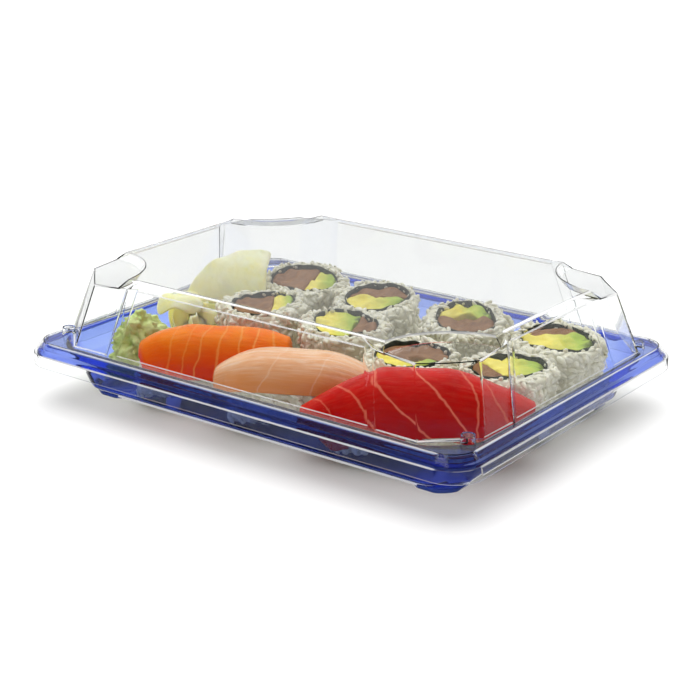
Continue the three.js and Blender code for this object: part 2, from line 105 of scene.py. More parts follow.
def bent_rows(rows, radius, steps=3):
    """Turns each inner row into a small round bend with a holding row each side."""
    result = [rows[0]]
    for before, row, after in zip(rows, rows[1:], rows[2:]):
        def towards(other, length):
            gap = hypot(other[0] - row[0], other[4] - row[4])
            return between(row, other, min(0.42, length / gap))
        first, last = towards(before, radius), towards(after, radius)
        result.append(towards(before, radius * 1.3))
        for i in range(steps + 1):
            t = i / steps
            bend = ((1 - t) ** 2, 2 * t * (1 - t), t * t)
            result.append([bend[0] * p + bend[1] * q + bend[2] * r
                           for p, q, r in zip(first, row, last)])
        result.append(towards(after, radius * 1.3))
    result.append(rows[-1])
    return result


def loft(rings, closed=False):
    """Points and faces of a skin through equal rings, capped unless it closes on itself."""
    count = len(rings[0])
    points = [point for ring in rings for point in ring]
    faces = []
    for i in range(len(rings) if closed else len(rings) - 1):
        upper, lower = i * count, (i + 1) % len(rings) * count
        for j in range(count):
            after = (j + 1) % count
            faces.append((upper + j, lower + j, lower + after, upper + after))
    if not closed:
        faces.append(tuple(range(count)))
        faces.append(tuple(reversed(range(len(points) - count, len(points)))))
    return points, faces


def join(points, faces, shape):
    """Adds another shape's points and faces."""
    start = len(points)
    points.extend(shape[0])
    faces.extend(tuple(start + i for i in face) for face in shape[1])


def placed(name, data):
    thing = bpy.data.objects.new(name, data)
    bpy.context.collection.objects.link(thing)
    return thing


def shade_round(mesh):
    mesh.polygons.foreach_set("use_smooth", [True] * len(mesh.polygons))


def new_piece(name, points, faces, place=None):
    """Object with its place in its mesh, from points in millimetres."""
    mesh = bpy.data.meshes.new(name)
    mesh.from_pydata([tuple(value * MM for value in point) for point in points], [], faces)
    if place:
        mesh.transform(place)
    shade_round(mesh)
    return placed(name, mesh)


def settle(piece):
    """Applies a piece's modifiers to its mesh."""
    graph = bpy.context.evaluated_depsgraph_get()
    mesh = bpy.data.meshes.new_from_object(
        piece.evaluated_get(graph), preserve_all_data_layers=True, depsgraph=graph
    )
    piece.modifiers.clear()
    piece.data = mesh
    return piece


def change(piece, kind, **settings):
    modifier = piece.modifiers.new(kind.lower(), kind)
    for name, value in settings.items():
        setattr(modifier, name, value)
    return modifier


def carve(piece, tool, operation):
    change(piece, "BOOLEAN", object=tool, operation=operation, solver="EXACT")
    settle(piece)
    bpy.data.objects.remove(tool)


def fit(piece, material, slot, *nodes):
    """Gives a finished piece its material and lets it stand for its CAD nodes."""
    if not piece.data.materials:
        piece.data.materials.append(material)
    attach(piece, "root")
    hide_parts(*nodes)


def add(tree, kind, inputs=None, **settings):
    """Adds a node. An input's value is a number or colour, or another node's output."""
    made = tree.nodes.new(kind)
    for name, value in settings.items():
        setattr(made, name, value)
    for name, value in (inputs or {}).items():
        if isinstance(value, bpy.types.NodeSocket):
            tree.links.new(value, made.inputs[name])
        else:
            made.inputs[name].default_value = value
    return made


def new_material(name):
    """Material with an empty tree, and the object's own coordinates."""
    material = bpy.data.materials.new(name)
    material.use_nodes = True
    tree = material.node_tree
    tree.nodes.clear()
    return material, tree, add(tree, "ShaderNodeTexCoord").outputs["Object"]


def grain(tree, place, scale, detail=3.0, roughness=0.5, distortion=0.0):
    texture = add(tree, "ShaderNodeTexNoise", {
        "Vector": place, "Scale": scale, "Detail": detail,
        "Roughness": roughness, "Distortion": distortion,
    })
    return texture.outputs["Fac"]


def spread(tree, value, low, high, start=0.3, end=0.7):
    """Maps a pattern's middle range to values between low and high."""
    return add(tree, "ShaderNodeMapRange", {
        "Value": value, "From Min": start, "From Max": end, "To Min": low, "To Max": high,
    }).outputs["Result"]


def bumped(tree, height, depth, strength=1.0):
    return add(tree, "ShaderNodeBump", {
        "Height": height, "Distance": depth, "Strength": strength,
    }).outputs["Normal"]


def mixed(tree, share, first, second):
    return add(tree, "ShaderNodeMixShader", {0: share, 1: first, 2: second}).outputs[0]


def clear_plastic(name, index, look, see_through, soak=None, strength=0.0, marks=()):
    """Smooth plastic that bends light, soaks some of it up and lets lamps through.

    A look is its tint, gloss range and clearness. A mark names a value that the faces carry, and
    the look that they take where it is 1.
    """
    material, tree, place = new_material(name)
    waves = bumped(tree, grain(tree, place, 24.0, 2.0), 0.0004, 0.25)
    specks = grain(tree, place, 140.0)

    def body(tint, gloss, clearness):
        return add(tree, "ShaderNodeBsdfPrincipled", {
            "Base Color": (*tint, 1.0), "IOR": index, "Transmission Weight": clearness,
            "Roughness": spread(tree, specks, *gloss), "Normal": waves,
        }).outputs[0]

    surface = body(*look)
    for mark, other in marks:
        share = add(tree, "ShaderNodeAttribute", attribute_name=mark).outputs["Fac"]
        surface = mixed(tree, share, surface, body(*other))
    open_way = add(tree, "ShaderNodeBsdfTransparent", {"Color": (*see_through, 1.0)}).outputs[0]
    lamp_ray = add(tree, "ShaderNodeLightPath").outputs["Is Shadow Ray"]
    parts = {"Surface": mixed(tree, lamp_ray, surface, open_way)}
    if strength:
        parts["Volume"] = add(tree, "ShaderNodeVolumeAbsorption", {
            "Color": (*soak, 1.0), "Density": strength,
        }).outputs[0]
    add(tree, "ShaderNodeOutputMaterial", parts)
    return material


def mark_faces(mesh, name, chosen):
    """Writes a value of 1 on the chosen faces and 0 on the others."""
    values = mesh.attributes.new(name, "FLOAT", "FACE")
    values.data.foreach_set("value", [float(face.index in chosen) for face in mesh.polygons])


def opened(mesh):
    shape = bmesh.new()
    shape.from_mesh(mesh)
    return shape


def bend_middles(mesh, narrow):
    """Middle strips of the level bends: narrow faces with a narrow face along both sides."""
    shape = opened(mesh)

    def is_strip(face):
        return face.calc_area() < narrow * max(edge.calc_length() for edge in face.edges)

    def is_level(edge):
        return abs(edge.verts[0].co.z - edge.verts[1].co.z) < 0.5 * edge.calc_length()

    strips = {face for face in shape.faces if is_strip(face)}
    middles = set()
    for face in strips:
        sides = sorted(face.edges, key=lambda edge: -edge.calc_length())[:2]
        beside = [other for side in sides for other in side.link_faces if other is not face]
        if is_level(sides[0]) and all(other in strips for other in beside):
            middles.add(face.index)
    shape.free()
    return middles


tray_rows = bent_rows(TRAY_INNER_ROWS + TRAY_RIM_ROWS + TRAY_UNDER_ROWS, TRAY_BEND)
tray = new_piece("pressed_tray", *loft([corner_outline(*row) for row in tray_rows]))


def foot_block(name, shrink, rows):
    points, faces = [], []
    for sx, sy in QUARTERS:
        rings = []
        for inset, z in rows:
            half = FOOT_SIDE / 2 - shrink - inset
            ring = corner_outline(half, half, FOOT_CUT, 0.35, z, 6)
            middle = (sx * (FOOT_OUTER[0] - FOOT_SIDE / 2), sy * (FOOT_OUTER[1] - FOOT_SIDE / 2))
            rings.append([(x + middle[0], y + middle[1], z) for x, y, z in ring])
        join(points, faces, loft(rings))
    return new_piece(name, points, faces)


carve(tray, foot_block("feet", 0, [(0, 2.1), (0.4, 0.9), (0.6, 0.3), (1.1, 0)]), "UNION")
carve(tray, foot_block("feet_inside", TRAY_WALL, [(0, 3.5), (0.4, 1.5), (1.2, 0.7)]), "DIFFERENCE")

blue_plastic = clear_plastic(
    "blue_plastic", 1.38, ((0.46, 0.57, 0.94), (0.01, 0.03), 0.98), (0.05, 0.055, 0.08),
    soak=(0.12, 0.30, 0.9), strength=520.0, marks=(
        # a bend carries a painted highlight: a milky pale blue
        ("bend", ((0.55, 0.64, 0.96), (0.04, 0.10), 0.55)),
        # the feet carry painted light: a milky deep blue
        ("foot", ((0.13, 0.22, 0.80), (0.04, 0.10), 0.55)),
        # the skirt and the lower walls carry painted shade: a darker blue
        ("deep", ((0.33, 0.42, 0.90), (0.01, 0.03), 0.98)),
    ),
)
# Painted highlight: the middle strips of the bends at the rim and at the skirt's edge take the
# milky pale blue.
painted_highlight_bends = set()
for index in bend_middles(tray.data, TRAY_STRIP * MM):
    height = tray.data.polygons[index].center.z / MM
    if height > TRAY_BRIGHT_Z[1] or TRAY_BRIGHT_Z[0] < height < TRAY_BRIGHT_Z[0] + 0.6:
        painted_highlight_bends.add(index)
mark_faces(tray.data, "bend", painted_highlight_bends)
# Painted light: the feet take a milky deep blue that stands in for light shining through them.
mark_faces(tray.data, "foot", {
    face.index for face in tray.data.polygons if face.center.z < FOOT_TOP_Z * MM
})
# Painted shade: the skirt and the down-facing lower walls take a darker blue.
painted_shade_faces = set()
for face in tray.data.polygons:
    x, y, z = (value / MM for value in face.center)
    on_skirt = abs(x) > TRAY_SKIRT[0] or abs(y) > TRAY_SKIRT[1]
    on_lower_wall = FOOT_TOP_Z < z < TRAY_INNER_ROWS[2][4] and face.normal.z < -0.02
    if on_skirt and z < TRAY_RIM_Z - 0.6 or on_lower_wall:
        painted_shade_faces.add(face.index)
mark_faces(tray.data, "deep", painted_shade_faces - painted_highlight_bends)
shade_round(tray.data)
tray.visible_diffuse = False  # the table below it keeps a plain grey shadow
fit(tray, blue_plastic, "tray_plastic", "tray")

# ==== Rolls ====
# Eight slices of inside-out roll standing on end: cooked rice round a loop of nori, with raw
# tuna beside avocado inside it. The rice is a pressed core with its grains lying on it.

FOOD_Z = 2.85
ROLL_HEIGHT = 24.7
ROLL_SLANT_TOWARDS = 127  # direction in which the slanted tops rise
RICE_RADIUS = 16.9  # of the core under the outer grains
NORI_RADIUS = 12.6
NORI_THICK = 0.5
FILLING_GAP = 0.1
ROLL_SIDES = 72
ROLLS = [  # place, turn, direction of the tuna, its share, added height, slope of the cut top
    ((-53.8, 40.6), 20, 195, 0.64, 0.0, 9),
    ((-17.3, 40.7), 75, 122, 0.40, -1.2, 7),
    ((27.6, 37.2), 130, 300, 0.58, 0.0, 7),
    ((65.9, 40.2), 10, 135, 0.30, -0.9, 5),
    ((-46.3, 5.1), 95, 215, 0.66, 0.0, 0),
    ((-5.6, 4.5), 160, 20, 0.34, 0.0, 3),
    ((30.0, -2.6), 40, 110, 0.56, -3.0, 4),
    ((66.0, 5.2), 60, 245, 0.30, -2.0, 1),
]
GRAIN_LENGTH = 3.9
GRAIN_WIDTH = 2.0
GRAIN_SPACING = 1.35
GRAINS_FROM = FOOD_Z + 0.9  # no grains lie lower on a core than this
SKIN_SIDE = (0.80, 0.60)  # the avocado's green outer flesh lies on this side


def maths(tree, operation, *values):
    return add(tree, "ShaderNodeMath", dict(enumerate(values)), operation=operation).outputs[0]


def rice_grain_tree():
    """Geometry nodes that lay cooked grains over the faces marked as outside."""
    tree = bpy.data.node_groups.new("rice_grains", "GeometryNodeTree")
    panel = tree.interface
    panel.new_socket("Geometry", in_out="INPUT", socket_type="NodeSocketGeometry")
    for name, kind, value in (
        ("Grain length", "NodeSocketFloat", GRAIN_LENGTH * MM),
        ("Grain width", "NodeSocketFloat", GRAIN_WIDTH * MM),
        ("Spacing", "NodeSocketFloat", GRAIN_SPACING * MM),
        ("Seed", "NodeSocketInt", 1),
        ("Material", "NodeSocketMaterial", None),
    ):
        socket = panel.new_socket(name, in_out="INPUT", socket_type=kind)
        if value is not None:
            socket.default_value = value
    panel.new_socket("Geometry", in_out="OUTPUT", socket_type="NodeSocketGeometry")
    given = tree.nodes.new("NodeGroupInput").outputs

    def chance(low, high):
        first = 2 if isinstance(low, float) else 0
        return add(tree, "FunctionNodeRandomValue", {
            first: low, first + 1: high, "Seed": given["Seed"],
        }, data_type="FLOAT" if first else "FLOAT_VECTOR").outputs[first // 2]

    size = add(tree, "ShaderNodeCombineXYZ", {
        "X": maths(tree, "MULTIPLY", given["Grain width"], 0.43),
        "Y": maths(tree, "MULTIPLY", given["Grain width"], 0.5),
        "Z": maths(tree, "MULTIPLY", given["Grain length"], 0.5),
    }).outputs[0]
    ball = add(tree, "GeometryNodeMeshUVSphere", {"Segments": 6, "Rings": 5, "Radius": 1.0})
    one = add(tree, "GeometryNodeTransform", {
        "Geometry": ball.outputs["Mesh"], "Scale": size, "Rotation": (0, pi / 2, 0),
    })
    outside = add(tree, "GeometryNodeInputNamedAttribute", {"Name": "outside"},
                  data_type="BOOLEAN").outputs["Attribute"]
    points = add(tree, "GeometryNodeDistributePointsOnFaces", {
        "Mesh": given["Geometry"], "Selection": outside, "Distance Min": given["Spacing"],
        "Density Max": 500000.0, "Seed": given["Seed"],
    }, distribute_method="POISSON")
    lean = add(tree, "FunctionNodeEulerToRotation", {
        "Euler": chance((-0.55, -0.55, 0.0), (0.55, 0.55, 2 * pi)),
    })
    turn = add(tree, "FunctionNodeRotateRotation", {
        "Rotation": points.outputs["Rotation"], "Rotate By": lean.outputs[0],
    }, rotation_space="LOCAL")
    copies = add(tree, "GeometryNodeInstanceOnPoints", {
        "Points": points.outputs["Points"], "Instance": one.outputs["Geometry"],
        "Rotation": turn.outputs[0], "Scale": chance(0.78, 1.12),
    })
    sunk = add(tree, "GeometryNodeTranslateInstances", {
        "Instances": copies.outputs[0],
        "Translation": chance((0.0, 0.0, -1.0 * MM), (0.0, 0.0, 0.5 * MM)),
    })
    shaded = add(tree, "GeometryNodeStoreNamedAttribute", {
        "Geometry": sunk.outputs[0], "Name": "shade", "Value": chance(0.45, 1.0),
    }, data_type="FLOAT", domain="INSTANCE")
    real = add(tree, "GeometryNodeRealizeInstances", {"Geometry": shaded.outputs[0]})
    smooth = add(tree, "GeometryNodeSetShadeSmooth", {"Geometry": real.outputs[0]})
    joined = tree.nodes.new("GeometryNodeJoinGeometry")
    tree.links.new(smooth.outputs[0], joined.inputs[0])
    tree.links.new(given["Geometry"], joined.inputs[0])
    dressed = add(tree, "GeometryNodeSetMaterial", {
        "Geometry": joined.outputs[0], "Material": given["Material"],
    })
    tree.links.new(dressed.outputs[0], tree.nodes.new("NodeGroupOutput").inputs[0])
    return tree


def satin(tree, place, scale, low, high):
    return spread(tree, grain(tree, place, scale), low, high)


def blend(tree, share, *colours):
    first, second = ((*c, 1.0) if isinstance(c, tuple) else c for c in colours)
    return add(tree, "ShaderNodeMix", {0: share, 6: first, 7: second}, data_type="RGBA").outputs[2]


def mottled(tree, pattern, first, second, most=1.0, start=0.3, end=0.7):
    """Colour that goes from the first to the second where a pattern is high."""
    return blend(tree, spread(tree, pattern, 0.0, most, start, end), first, second)


def coated(material, colour, inputs, index=1.4):
    """Gives a material the one surface that its patterns make."""
    tree = material.node_tree
    body = add(tree, "ShaderNodeBsdfPrincipled", {"Base Color": colour, "IOR": index, **inputs})
    add(tree, "ShaderNodeOutputMaterial", {"Surface": body.outputs[0]})
    return material


def cooked_rice():
    """Moist white rice: each grain its own tone, and painted shade in the gaps, where the bare
    core takes the darkest colour.
    """
    material, tree, place = new_material("cooked_rice")
    shade = add(tree, "ShaderNodeAttribute", attribute_name="shade").outputs["Fac"]
    cloud = grain(tree, place, 420.0, 2.0)
    pale = mottled(tree, cloud, (0.86, 0.83, 0.66), (0.95, 0.93, 0.81))
    # Grains take a random tone between these; the core keeps a shade of 0 and takes the darkest
    # colour: painted shade in the gaps.
    colour = blend(tree, shade, (0.74, 0.71, 0.55), pale)
    return coated(material, colour, {
        "Roughness": satin(tree, place, 900.0, 0.28, 0.55),
        "Specular IOR Level": 0.35, "Subsurface Weight": 0.15, "Subsurface Scale": 0.0012,
        "Subsurface Radius": (1.0, 0.85, 0.6),
        "Normal": bumped(tree, grain(tree, place, 1300.0, 2.0), 0.0002, 0.5),
    })


grain_tree = rice_grain_tree()
grain_inputs = {
    item.name: item.identifier for item in grain_tree.interface.items_tree
    if item.in_out == "INPUT"
}
rice_finish = cooked_rice()


def cover_with_grains(piece, seed, inside=0):
    """Lays grains on a core, but for its foot and the last faces, which are on its inside."""
    mesh = piece.data
    last = len(mesh.polygons) - inside
    marks = mesh.attributes.new("outside", "BOOLEAN", "FACE")
    marks.data.foreach_set("value", [
        face.center.z > GRAINS_FROM * MM and face.index < last for face in mesh.polygons
    ])
    # The core's points keep a shade of 0: painted shade where it shows between the grains.
    mesh.attributes.new("shade", "FLOAT", "POINT")
    layer = change(piece, "NODES", node_group=grain_tree)
    layer[grain_inputs["Seed"]] = seed
    layer[grain_inputs["Material"]] = rice_finish
    settle(piece)


def uneven(x, y, z):
    return noise.noise(Vector((x, y, z)))


def nori_radius(angle, offset):
    return NORI_RADIUS + 1.3 * cos(2 * angle) + 0.5 * cos(3 * angle + 1) + offset


def around(count):
    return [i / count * 2 * pi for i in range(count)]


def loop_ring(offset, z, ragged=0.0, seed=0.0):
    ring = []
    for angle in around(ROLL_SIDES):
        rise = ragged * uneven(cos(angle) * 3, sin(angle) * 3, seed)
        r = nori_radius(angle, offset)
        ring.append((r * cos(angle), r * sin(angle), z + rise))
    return ring


def rice_ring(shrink, z, seed):
    ring = []
    for angle in around(ROLL_SIDES):
        bump = 0.22 * sin(5 * angle + seed) + 0.18 * sin(9 * angle + seed * 2 + z)
        lump = 2.2 * uneven(cos(angle) * 3.2, sin(angle) * 3.2, z * 0.2 + seed * 7)
        r = RICE_RADIUS - shrink + bump + lump
        ring.append((r * cos(angle), r * sin(angle), z))
    return ring


def rice_core(top, seed):
    return loft([
        loop_ring(FILLING_GAP, top - 1.2),
        loop_ring(FILLING_GAP + 1.1, top - 0.6, 0.6, seed),
        rice_ring(2.2, top - 0.7, seed),
        rice_ring(0.9, top - 1.2, seed),
        *(rice_ring(0.1, mix(1.6, top - 2.2, i / 9), seed) for i in reversed(range(10))),
        rice_ring(1.2, 0.7, seed),
        rice_ring(2.4, 0.4, seed),
        loop_ring(FILLING_GAP, 0.3),
    ], closed=True)


def nori_strip(top, seed):
    """Thin sheet rolled into a loop, its cut edge a little ragged."""
    mid = top * 0.5
    return loft([
        loop_ring(-NORI_THICK * 0.75, top - 0.15, 1.0, seed),
        loop_ring(-NORI_THICK * 0.25, top, 1.0, seed),
        loop_ring(0, top - 0.15, 1.0, seed),
        loop_ring(0, mid),
        loop_ring(0, 0.2),
        loop_ring(-NORI_THICK, 0.2),
        loop_ring(-NORI_THICK, mid),
        loop_ring(-NORI_THICK, top - 0.35, 1.0, seed),
    ], closed=True)


def filling(turn, tuna_turn, tuna_share, side, top, seed):
    """One side of the nori's inside, cut by a line: side 1 is the tuna, -1 the avocado."""
    direction = radians(tuna_turn - turn)
    across = (cos(direction), sin(direction))
    reach = NORI_RADIUS - NORI_THICK - FILLING_GAP
    cut = reach * (1 - 2 * tuna_share)
    inside = [point[:2] for point in loop_ring(-NORI_THICK - FILLING_GAP, 0)]

    def depth(point):
        return side * (point[0] * across[0] + point[1] * across[1] - cut) - FILLING_GAP / 2

    region = []
    for point, after in zip(inside, inside[1:] + inside[:1]):
        here, there = depth(point), depth(after)
        if here > 0:
            region.append(point)
        if (here > 0) != (there > 0):
            region.append(between(point, after, here / (here - there)))
    even = []
    lengths = [dist(p, q) for p, q in zip(region, region[1:] + region[:1])]
    total, count = sum(lengths), 64
    for k in range(count):
        rest, i = total * k / count, 0
        while rest > lengths[i]:
            rest -= lengths[i]
            i += 1
        even.append(between(region[i], region[(i + 1) % len(region)], rest / lengths[i]))
    for _ in range(2):
        even = [
            [(a[k] + 2 * b[k] + c[k]) / 4 for k in (0, 1)]
            for a, b, c in zip(even[-1:] + even[:-1], even, even[1:] + even[:1])
        ]
    middle = [sum(point[k] for point in even) / count for k in (0, 1)]

    def ring(scale, z, lumps=0.0):
        points = []
        for x, y in even:
            px, py = mix(middle[0], x, scale), mix(middle[1], y, scale)
            lift = lumps * uneven(px * 0.22, py * 0.22, seed * 5)
            points.append((px, py, z + lift))
        return points

    tops = [(0.03, 0.0), (0.2, 0.0), (0.4, 0.0), (0.6, -0.02), (0.8, -0.08), (0.92, -0.2),
            (0.98, -0.5), (1.0, -1.1)]
    return loft([ring(scale, top + z, 1.9) for scale, z in tops]
                + [ring(1, top * 0.5), ring(1, 1.0), ring(0.97, 0.35), ring(0.3, 0.3)])


def slanted(points, turn, slant, top):
    """Tilts a cut top: each point moves up or down by its height's share of the slope."""
    towards = radians(ROLL_SLANT_TOWARDS - turn)
    slope = tan(radians(slant))
    return [(x, y, z + z / top * (x * cos(towards) + y * sin(towards)) * slope)
            for x, y, z in points]


def standing(at, turn):
    return (Matrix.Translation(Vector((at[0], at[1], FOOD_Z)) * MM)
            @ Matrix.Rotation(radians(turn), 4, "Z"))


def nori_sheet():
    """Dark dried laver: blackish green, paper-like, faintly mottled."""
    material, tree, place = new_material("nori_sheet")
    mottle = grain(tree, place, 700.0, 4.0, 0.6)
    colour = mottled(tree, mottle, (0.012, 0.016, 0.010), (0.050, 0.062, 0.036))
    return coated(material, colour, {
        "Roughness": satin(tree, place, 350.0, 0.35, 0.7),
        "Normal": bumped(tree, mottle, 0.0003, 0.7),
    })


def stretched(tree, place, scale, turn=0.0):
    return add(tree, "ShaderNodeMapping", {
        "Vector": place, "Rotation": (0, 0, turn), "Scale": scale,
    }).outputs[0]


def roll_tuna():
    """Raw tuna cut across the grain: brownish pink with fine paler fibres."""
    material, tree, place = new_material("roll_tuna")
    fibres = grain(tree, stretched(tree, place, (1.0, 0.16, 0.5), 0.6), 900.0, 3.0, 0.6)
    broad = grain(tree, place, 160.0, 2.0)
    colour = mottled(tree, fibres, (0.17, 0.065, 0.018), (0.29, 0.130, 0.042))
    colour = mottled(tree, broad, colour, (0.36, 0.18, 0.065), 0.5)
    return coated(material, colour, {
        "Specular IOR Level": 0.25,
        "Roughness": satin(tree, place, 500.0, 0.3, 0.55),
        "Normal": bumped(tree, fibres, 0.0003, 0.6),
    })


def avocado_flesh():
    """Ripe avocado: butter yellow, going to green and a dark line on its skin side."""
    material, tree, place = new_material("avocado_flesh")
    rind = add(tree, "ShaderNodeAttribute", attribute_name="rind").outputs["Fac"]
    cloud = grain(tree, place, 260.0, 3.0)
    flesh = mottled(tree, cloud, (0.80, 0.66, 0.07), (0.90, 0.80, 0.17))
    shift = maths(tree, "ADD", rind, spread(tree, grain(tree, place, 380.0), -0.08, 0.08))
    green = mottled(tree, shift, flesh, (0.38, 0.52, 0.06), 1.0, 0.35, 0.8)
    colour = mottled(tree, shift, green, (0.09, 0.13, 0.02), 1.0, 0.86, 0.98)
    return coated(material, colour, {
        "Specular IOR Level": 0.25,
        "Roughness": satin(tree, place, 420.0, 0.35, 0.6),
        "Normal": bumped(tree, cloud, 0.0004, 0.4),
    })


nori_finish = nori_sheet()
roll_tuna_finish = roll_tuna()
avocado_finish = avocado_flesh()

for number, (at, turn, tuna_turn, tuna_share, tall, slant) in enumerate(ROLLS, 1):
    top = ROLL_HEIGHT + tall
    place = standing(at, turn)
    label = f"roll_{number}"

    def stand(kind, shape):
        points, faces = shape
        return new_piece(f"{label}_{kind}", slanted(points, turn, slant, top), faces, place)

    rice = stand("rice_grains", rice_core(top, number))
    cover_with_grains(rice, number * 11, ROLL_SIDES)
    fit(rice, rice_finish, "rice", f"{label}_rice")

    nori = stand("nori_strip", nori_strip(top - 0.2, number * 3.7))
    fit(nori, nori_finish, "nori", f"{label}_nori")

    tuna = stand("tuna_cut", filling(turn, tuna_turn, tuna_share, 1, top - 1.3, number))
    fit(tuna, roll_tuna_finish, "roll_tuna", f"{label}_tuna")

    side = filling(turn, tuna_turn, tuna_share, -1, top - 1.1, number + 20)
    avocado = stand("avocado_cut", side)
    rind = avocado.data.attributes.new("rind", "FLOAT", "POINT")
    along = [vertex.co.x * SKIN_SIDE[0] + vertex.co.y * SKIN_SIDE[1]
             for vertex in avocado.data.vertices]
    low, high = min(along), max(along)
    rind.data.foreach_set("value", [(value - low) / (high - low) for value in along])
    fit(avocado, avocado_finish, "avocado", f"{label}_avocado")

# ==== Nigiri ====
# Three hand-pressed pads of rice, each under a draped slice of raw fish: salmon with its pale
# fat lines, a translucent white fish, and deep red tuna with thin sinews.

SLICE_CLEAR = 0.9
SLICE_LEVEL = 0.25
SLICE_THICK = 5.2
SLICE_TIP = 3
SLICE_WRAP = 78
NIGIRI = {
    "salmon": {
        "at": (-35.7, -35.2), "turn": 31, "slice": 27.5, "pad": (-29, 25), "wide": 10,
        "high": 21, "drop": (3.5, 0.6), "curve": 2.4, "hang": 17, "tips": (0.25, 0.9),
    },
    "whitefish": {
        "at": (5.5, -38.0), "turn": 27, "slice": 29, "pad": (-25, 24), "wide": 10,
        "high": 21, "drop": (4.2, 5), "curve": 2.4, "hang": 10, "tips": (0.92, 0.12),
    },
    "tuna": {
        "at": (55.0, -35.0), "turn": 32, "slice": 39.2, "pad": (-28, 27), "wide": 10.8,
        "high": 24, "drop": (12, 8), "curve": 1.3, "hang": 22.5, "tips": (0.12, 0.12),
    },
}


def bend_share(x, half):
    return max(0, abs(x) / half - SLICE_LEVEL) / (1 - SLICE_LEVEL)


def under_height(spec, x):
    drop = spec["drop"][0 if x < 0 else 1]
    return spec["high"] + SLICE_CLEAR - drop * bend_share(x, spec["slice"]) ** spec["curve"]


def pad_section(spec, x):
    share = min(0.985, x / spec["pad"][0 if x < 0 else 1])
    full = (1 - share ** 3) ** (1 / 2.6)
    height = min(spec["high"] * (0.4 + 0.6 * full), under_height(spec, x) - SLICE_CLEAR)
    return spec["wide"] * (0.4 + 0.6 * full), height


def rice_pad(spec, stations=40, sides=44, shrink=0.8):
    rings = []
    for i in range(stations):
        x = mix(spec["pad"][0] + shrink, spec["pad"][1] - shrink, i / (stations - 1))
        half_width, height = pad_section(spec, x)
        ring = []
        for angle in around(sides):
            c, s = cos(angle), sin(angle)
            lump = 0.5 * uneven(x * 0.25, c * 2, s * 2 + spec["slice"])
            y = (half_width - shrink + lump) * copysign(abs(c) ** 0.75, c)
            lift = 1 + copysign(abs(s) ** 0.75, s)
            ring.append((x, y, 0.3 + (height - shrink - 0.3) / 2 * lift))
        rings.append(ring[::-1])
    return loft(rings)


def slice_section(spec, x):
    reach = min(spec["slice"] - SLICE_TIP, abs(spec["pad"][0 if x < 0 else 1]))
    past = max(0, (abs(x) - reach) / (spec["slice"] - reach))
    pad_half = pad_section(spec, copysign(min(abs(x), reach), x))[0]
    tip = spec["tips"][0 if x < 0 else 1]
    return (
        (pad_half + SLICE_CLEAR + 0.1) * (1 - 0.57 * (1 - tip) * past ** 1.5),
        under_height(spec, x),
        spec["hang"] * mix(1, tip, past),
        SLICE_THICK * (1 - 0.5 * bend_share(x, spec["slice"]) ** 2),
    )


def fish_slice(name, spec, stations=76, steps=44):
    """Draped slice with rounded hems and tips, with a map: u along it and v across it."""
    rings, half = [], spec["slice"]
    for i in range(stations):
        along = mix(-1, 1, i / (stations - 1))
        x = half * copysign(1 - (1 - abs(along)) ** 1.15, along)
        half_width, high, hang, thick = slice_section(spec, x)
        outer, inner = [], []
        for j in range(steps + 1):
            angle = radians(mix(-SLICE_WRAP, SLICE_WRAP, j / steps))
            s, c = sin(angle), cos(angle)
            depth = mix(1.3, thick, max(0, cos(angle * 1.05)) ** 0.6)
            wave = 0.35 * uneven(x * 0.12, s * 1.5, half)
            y = half_width * copysign(abs(s) ** 0.8, s)
            z = high - hang + hang * max(0, c) ** 0.8
            inner.append((x, y, z))
            outer.append((x, y + (depth * 0.55 + wave) * s, z + depth * (0.45 + 0.55 * c)
                          + wave * c))
        drop = 0.45 * mix(1, 0.4, bend_share(x, half))

        def hem(start, end, out):
            rounds = [between(start, end, t) for t in (0.3, 0.7)]
            return [(px, py + out, pz - drop) for px, py, pz in rounds]

        rings.append(outer + hem(outer[-1], inner[-1], 0.1)
                     + inner[::-1] + hem(inner[0], outer[0], -0.1))
    count = len(rings[0])
    v_outer = [j / steps for j in range(steps + 1)]
    across = v_outer + [1.0, 1.0] + v_outer[::-1] + [0.0, 0.0]
    ends = []
    for ring, sign in ((rings[0], -1), (rings[-1], 1)):
        middle = [sum(point[k] for point in ring) / count for k in range(3)]
        for scale, out in ((0.88, 0.55), (0.6, 0.9), (0.2, 1.05)):
            ends.append((sign, [
                (point[0] + sign * out, mix(middle[1], point[1], scale),
                 mix(middle[2], point[2], scale)) for point in ring
            ]))
    rings = [ring for sign, ring in reversed(ends) if sign < 0] + rings
    rings += [ring for sign, ring in ends if sign > 0]
    points, faces = loft([ring[::-1] for ring in rings])
    piece = new_piece(name, points, faces, standing(spec["at"], spec["turn"]))
    length = [min(1, max(0, (point[0] / half + 1) / 2)) for point in points]
    across = across[::-1] * len(rings)
    layer = piece.data.uv_layers.new(name="surface")
    for loop in piece.data.loops:
        layer.data[loop.index].uv = (length[loop.vertex_index], across[loop.vertex_index])
    return piece


def pale_line(tree, along, across, line, waver):
    """Soft line over a slice: its place at the hem, lean, bow, half width and strength."""
    start, lean, bow, half_width, strength = line
    bent = maths(tree, "MULTIPLY_ADD", across, lean, start)
    bowed = maths(tree, "MULTIPLY", maths(tree, "MULTIPLY", across, across), bow)
    place = maths(tree, "ADD", maths(tree, "ADD", bent, bowed), waver)
    away = maths(tree, "ABSOLUTE", maths(tree, "SUBTRACT", along, place))
    return add(tree, "ShaderNodeMapRange", {
        "Value": away, "From Min": half_width, "From Max": half_width * 0.15,
        "To Min": 0.0, "To Max": strength,
    }, interpolation_type="SMOOTHSTEP").outputs[0]


